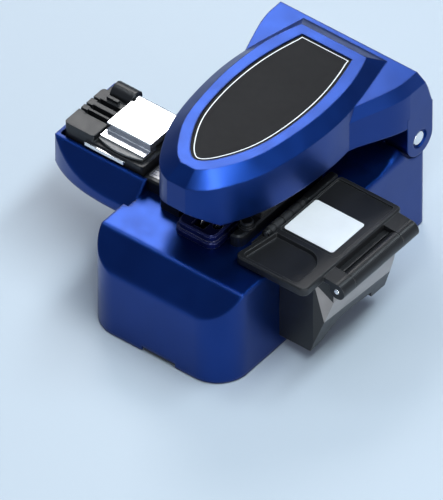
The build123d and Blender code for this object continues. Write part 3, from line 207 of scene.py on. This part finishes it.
def dark_anodised(name, base, edge, rough, edge_highlight):
    t = Tree(name)
    flake = t.noise(4200.0, 2.0)
    colour = t.tint(t.noise(220.0), scaled(base, 0.8), scaled(base, 1.2))
    # The edge colour is a painted highlight on the rounded edges.
    t.to(t.painted_edge_highlight(colour, edge_highlight, edge * 0.4), "Base Color")
    t.set(Metallic=0.6, Coat_Weight=0.15, Coat_Roughness=0.2)
    t.to(t.spread(t.noise(300.0), rough, rough + 0.12), "Roughness")
    t.to(t.bump(flake, 0.18, 0.00006, t.rounded(edge)), "Normal")
    return t.material


def moulded(name, base, rough, grain=0.25, radius=0.0004, coat=0.0, level=0.5, edge_highlight=None):
    t = Tree(name)
    fine = t.noise(2600.0, 3.0)
    colour = t.tint(t.noise(90.0), scaled(base, 0.85), scaled(base, 1.18))
    # The edge colour, when given, is a painted highlight on the rounded edges.
    t.to(t.painted_edge_highlight(colour, edge_highlight, radius * 0.6) if edge_highlight else colour, "Base Color")
    t.set(Coat_Weight=coat, Coat_Roughness=0.15, Specular_IOR_Level=level)
    t.to(t.spread(t.noise(420.0), rough - 0.02, rough + 0.03), "Roughness")
    t.to(t.bump(fine, grain, 0.00008, t.rounded(radius)), "Normal")
    return t.material


def rubber():
    t = Tree("rubber_black")
    t.to(t.tint(t.noise(300.0), (0.016, 0.016, 0.017), (0.030, 0.030, 0.032)), "Base Color")
    t.to(t.spread(t.noise(900.0), 0.68, 0.85), "Roughness")
    t.to(t.bump(t.noise(3000.0, 4.0), 0.4, 0.0001, t.rounded(0.0002)), "Normal")
    return t.material


def metal(name, base, rough, lines=(1.0, 1.0, 1.0), strength=0.12, radius=0.0003, edge_highlight=None):
    t = Tree(name)
    drawn = t.noise(1400.0, 3.0, t.stretched(lines))
    colour = t.tint(t.noise(240.0), scaled(base, 0.88), scaled(base, 1.06))
    # The edge colour, when given, is a painted highlight on the rounded edges.
    t.to(t.painted_edge_highlight(colour, edge_highlight, radius) if edge_highlight else colour, "Base Color")
    t.set(Metallic=1.0)
    t.to(t.spread(drawn, rough - 0.05, rough + 0.08), "Roughness")
    t.to(t.bump(drawn, strength, 0.00004, t.rounded(radius)), "Normal")
    return t.material


def label_film():
    t = Tree("label_white")
    t.to(t.tint(t.noise(120.0), (0.84, 0.84, 0.84), (0.90, 0.90, 0.90)), "Base Color")
    t.set(Coat_Weight=0.2, Coat_Roughness=0.3)
    t.to(t.spread(t.noise(500.0), 0.4, 0.5), "Roughness")
    t.to(t.bump(t.noise(2200.0), 0.05, 0.00005), "Normal")
    return t.material


def make_materials():
    """One material for each material slot of the record."""
    return {
        # The edge_highlight colours below are painted highlights on the parts' edges.
        "blue_paint": blue_paint("blue_paint", radius=0.0016),
        "dark_cover": dark_anodised(
            "dark_cover", base=(0.03, 0.033, 0.042), edge=0.0003, rough=0.5, edge_highlight=(0.08, 0.08, 0.09)
        ),
        "rubber_black": rubber(),
        "machined_steel": metal("machined_steel", base=(0.55, 0.56, 0.58), rough=0.3, lines=(1, 12, 1)),
        "bright_steel": metal(
            "bright_steel", base=(0.86, 0.86, 0.87), rough=0.16, lines=(1, 10, 1), strength=0.05
        ),
        "spring_steel": metal("spring_steel", base=(0.50, 0.50, 0.51), rough=0.28, lines=(8, 1, 1)),
        "black_anodised": dark_anodised(
            "black_anodised", base=(0.020, 0.021, 0.024), edge=0.0004, rough=0.34, edge_highlight=(0.16, 0.16, 0.17)
        ),
        "grey_aluminium": metal("grey_aluminium", base=(0.36, 0.36, 0.37), rough=0.38, lines=(12, 1, 1)),
        "nameplate_grey": moulded(
            "nameplate_grey", base=(0.005, 0.005, 0.006), rough=0.5, grain=0.05, radius=0.0002, level=0.15
        ),
        "blue_anodised": dark_anodised(
            "blue_anodised", base=(0.008, 0.014, 0.10), edge=0.0004, rough=0.26, edge_highlight=(0.55, 0.55, 0.75)
        ),
        "black_plastic": moulded(
            "black_plastic", base=(0.011, 0.011, 0.012), rough=0.36, level=0.4, edge_highlight=(0.10, 0.10, 0.10)
        ),
        # Used only on the low outer wall of the waste box: a lighter copy of the box's plastic, painted
        # light.
        "grey_plastic": moulded(
            "grey_plastic", base=(0.235, 0.215, 0.205), rough=0.30, grain=0.12, radius=0.0005, coat=0.3
        ),
        "screw_black": metal("screw_black", base=(0.05, 0.05, 0.055), rough=0.26, edge_highlight=(0.8, 0.8, 0.8)),
        "hard_metal": metal(
            "hard_metal", base=(0.62, 0.63, 0.65), rough=0.14, strength=0.04, radius=0.0001
        ),
        "label_white": label_film(),
        "brass_bush": metal("brass_bush", base=(0.60, 0.42, 0.16), rough=0.25),
    }


def first_finish(name, material):
    """Gives a whole CAD node one finish."""
    slots = nodes[name].data.materials
    slots.clear()
    slots.append(material)


def second_finish(name, material, chosen):
    """Gives the chosen faces of a CAD node another finish."""
    mesh = nodes[name].data
    mesh.materials.append(material)
    for face in mesh.polygons:
        if chosen(face):
            face.material_index = 1


def box_painted_shade_faces(face):
    """All of the waste box but the low part of its right-hand wall. These faces get a near-black finish
    as painted shade, and the lit wall keeps a lighter grey as painted light.
    """
    wall_turn, wall_from, wall_top = 0.3, 41 * MM, 29.5 * MM
    return face.normal.x < wall_turn or face.center.x < wall_from or face.center.z > wall_top


def nose_step(face):
    """The low step at the front of the holder lid, which gets a darker grey as painted shade."""
    step_back, step_top = -14 * MM, 41.0 * MM
    return face.center.y < step_back and face.center.z < step_top


def dress_nodes(materials):
    slot_of = {entry["node"]: entry["material_slot"] for entry in frame["record"]["subparts"]}
    for name in nodes:
        first_finish(name, materials[slot_of[name]])
    first_finish("lever_shell", blue_paint("blue_paint_lever", radius=0.0007))
    # The waste box is near-black except on its low outer right-hand wall, which is lighter grey: painted
    # light and shade on one plastic.
    second_finish("waste_box", materials["black_plastic"], box_painted_shade_faces)
    # A darker grey on the lid's low front step: painted shade on the bright lid.
    step_shade_metal = metal("step_painted_shade_grey", base=(0.20, 0.20, 0.20), rough=0.5)
    second_finish("holder_lid", step_shade_metal, nose_step)


# Pieces that only the scene has
def piece(name, bm, material, body):
    mesh = bpy.data.meshes.new(name)
    bm.to_mesh(mesh)
    bm.free()
    obj = bpy.data.objects.new(name, mesh)
    scene.collection.objects.link(obj)
    mesh.materials.append(material)
    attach(obj, body)


def top_outline(node):
    """The top face of a CAD node as one face."""
    same_point, same_height, facing_up = 1e-7, 1e-5, 0.9
    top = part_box(node)[1][2]
    bm = bmesh.new()
    bm.from_mesh(nodes[node].data)
    bmesh.ops.remove_doubles(bm, verts=bm.verts, dist=same_point)
    away = [
        f
        for f in bm.faces
        if f.normal.z < facing_up or f.calc_center_median().z < top - same_height
    ]
    bmesh.ops.delete(bm, geom=away, context="FACES")
    bmesh.ops.dissolve_faces(bm, faces=bm.faces[:])
    return bm


def outline_strip(name, node, inset, width, height, material, body):
    """A thin raised line that follows a CAD node's top outline."""
    bm = top_outline(node)
    ring = bmesh.ops.inset_individual(bm, faces=bm.faces[:], thickness=inset)
    bmesh.ops.delete(bm, geom=ring["faces"], context="FACES")
    inner = bm.faces[:]
    bmesh.ops.inset_individual(bm, faces=inner, thickness=width)
    bmesh.ops.delete(bm, geom=inner, context="FACES")
    grown = bmesh.ops.extrude_face_region(bm, geom=bm.faces[:])
    raised = [v for v in grown["geom"] if isinstance(v, bmesh.types.BMVert)]
    bmesh.ops.translate(bm, verts=raised, vec=(0, 0, height))
    bmesh.ops.recalc_face_normals(bm, faces=bm.faces[:])
    piece(name, bm, material, body)


def bar(bm, low, high):
    """A bar with small bevelled edges, added to a mesh."""
    bevel_share = 0.2
    made = bmesh.ops.create_cube(bm, size=1.0)["verts"]
    centre = (Vector(low) + Vector(high)) / 2
    size = Vector(high) - Vector(low)
    for v in made:
        v.co = Vector(v.co[i] * size[i] + centre[i] for i in range(3))
    edges = list({e for v in made for e in v.link_edges})
    bmesh.ops.bevel(bm, geom=edges, offset=min(size) * bevel_share, segments=2, affect="EDGES")


def scale_marks(material):
    """Ruler ticks and plain numbers on the scale plate."""
    low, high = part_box("scale_plate")
    top = high[2]
    margin = 1 * MM
    count, long_every = 18, 5
    step = (high[1] - low[1] - 2 * margin) / count
    long_tick, short_tick = 1.9 * MM, 1.1 * MM
    half_width, tick_height = 0.1 * MM, 0.03 * MM
    left = low[0] + 0.4 * MM
    bm = bmesh.new()
    for n in range(count + 1):
        y = low[1] + margin + n * step
        length = long_tick if n % long_every == 0 else short_tick
        bar(bm, (left, y - half_width, top), (left + length, y + half_width, top + tick_height))
    piece("scale_ticks", bm, material, "base")

    letter_size, letter_half_height = 1.9 * MM, 0.015 * MM
    letter_left, letter_foot = low[0] + 2.7 * MM, low[1] + 1.2 * MM
    for n, text in ((0, "5"), (5, "10"), (10, "15"), (15, "20")):
        data = bpy.data.curves.new("scale_number_" + text, "FONT")
        data.body = text
        data.size = letter_size
        data.extrude = letter_half_height
        obj = bpy.data.objects.new("scale_number_" + text, data)
        scene.collection.objects.link(obj)
        obj.location = (letter_left, letter_foot + n * step, top + letter_half_height)
        data.materials.append(material)
        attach(obj, "base")


def springy(name, node, body):
    """A copy of a CAD spring, attached to a body, in place of the hidden CAD node."""
    obj = bpy.data.objects.new(name, nodes[node].data.copy())
    scene.collection.objects.link(obj)
    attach(obj, body)
    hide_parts(node)
    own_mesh(obj)


def notch_painted_shade(material):
    """Dark strip inside the notch at the foot of the front wall: painted shade where the notch lies in
    shadow.
    """
    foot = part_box("base_body")[0][2]
    left, right = -4.1 * MM, 7.9 * MM
    front_wall = -48.25 * MM
    near, far = 0.45 * MM, 1.35 * MM
    lift, height = 0.15 * MM, 1.35 * MM
    bm = bmesh.new()
    bar(bm, (left, front_wall + near, foot + lift), (right, front_wall + far, foot + height))
    piece("notch_painted_shade", bm, material, "base")


def make_springs():
    """Copies of the two springs, one on the base and one on the lever."""
    springy(
        "return_coil", "carriage_spring", "base"
    )
    springy(
        "clamp_coils", "clamp_springs", "lever"
    )


# Floor, lamps and world
def make_floor():
    mesh = bpy.data.meshes.new("floor")
    half = 3.0
    corners = [(-half, -half, 0), (half, -half, 0), (half, half, 0), (-half, half, 0)]
    mesh.from_pydata(corners, [], [(0, 1, 2, 3)])
    floor = bpy.data.objects.new("floor", mesh)
    scene.collection.objects.link(floor)
    t = Tree("floor")
    t.to(t.tint(t.noise(3.0), (0.53, 0.585, 0.645), (0.555, 0.61, 0.665)), "Base Color")
    t.set(Roughness=0.6)
    floor.data.materials.append(t.material)


def lamp(name, place, aim, size, power, colour=(1, 1, 1)):
    data = bpy.data.lights.new(name, "AREA")
    data.shape = "RECTANGLE"
    data.size, data.size_y = size
    data.energy = power
    data.color = colour
    obj = bpy.data.objects.new(name, data)
    scene.collection.objects.link(obj)
    obj.location = place
    obj.rotation_euler = (Vector(aim) - Vector(place)).to_track_quat("-Z", "Y").to_euler()


def make_lights():
    lamp("key", (-0.30, 0.29, 0.42), aim=(-0.03, -0.04, 0.03), size=(0.20, 0.18), power=0.94)
    lamp(
        "overhead",
        (0.275, 0.03, 0.76),
        aim=(0.01, 0, 0.04),
        size=(1.05, 0.12),
        power=6.2,
        colour=(0.80, 0.93, 1.0),
    )
    lamp(
        "edge",
        (-0.36, 0.0, 0.72),
        aim=(0, -0.02, 0.03),
        size=(0.20, 0.20),
        power=0.65,
        colour=(0.85, 0.95, 1.0),
    )
    lamp(
        "side",
        (0.95, -0.20, 0.16),
        aim=(0, 0, 0.03),
        size=(0.4, 0.3),
        power=3.2,
        colour=(1.0, 0.98, 0.96),
    )
    lamp("fill", (0.05, 0.0, 1.3), aim=(0, 0, 0.03), size=(0.8, 0.8), power=2.6)


def make_world():
    """A pale horizon that darkens towards the zenith."""
    horizon, zenith, zenith_from = (0.62, 0.72, 0.85, 1), (0.16, 0.20, 0.30, 1), 0.9
    strength = 0.52
    world = bpy.data.worlds.new("world")
    world.use_nodes = True
    scene.world = world
    tree = world.node_tree
    background = tree.nodes["Background"]
    coords = tree.nodes.new("ShaderNodeTexCoord")
    split = tree.nodes.new("ShaderNodeSeparateXYZ")
    ramp = tree.nodes.new("ShaderNodeValToRGB")
    low_stop, high_stop = ramp.color_ramp.elements
    low_stop.position, low_stop.color = 0.0, horizon
    high_stop.position, high_stop.color = zenith_from, zenith
    tree.links.new(coords.outputs["Generated"], split.inputs["Vector"])
    tree.links.new(split.outputs["Z"], ramp.inputs["Fac"])
    tree.links.new(ramp.outputs["Color"], background.inputs["Color"])
    background.inputs["Strength"].default_value = strength


make_camera()
materials = make_materials()
dress_nodes(materials)
outline_strip(
    "nameplate_border",
    "nameplate",
    inset=0.9 * MM,
    width=0.32 * MM,
    height=0.04 * MM,
    material=materials["label_white"],
    body="lever",
)
scale_marks(materials["black_plastic"])
make_springs()
notch_painted_shade(materials["black_plastic"])
make_floor()
make_lights()
make_world()
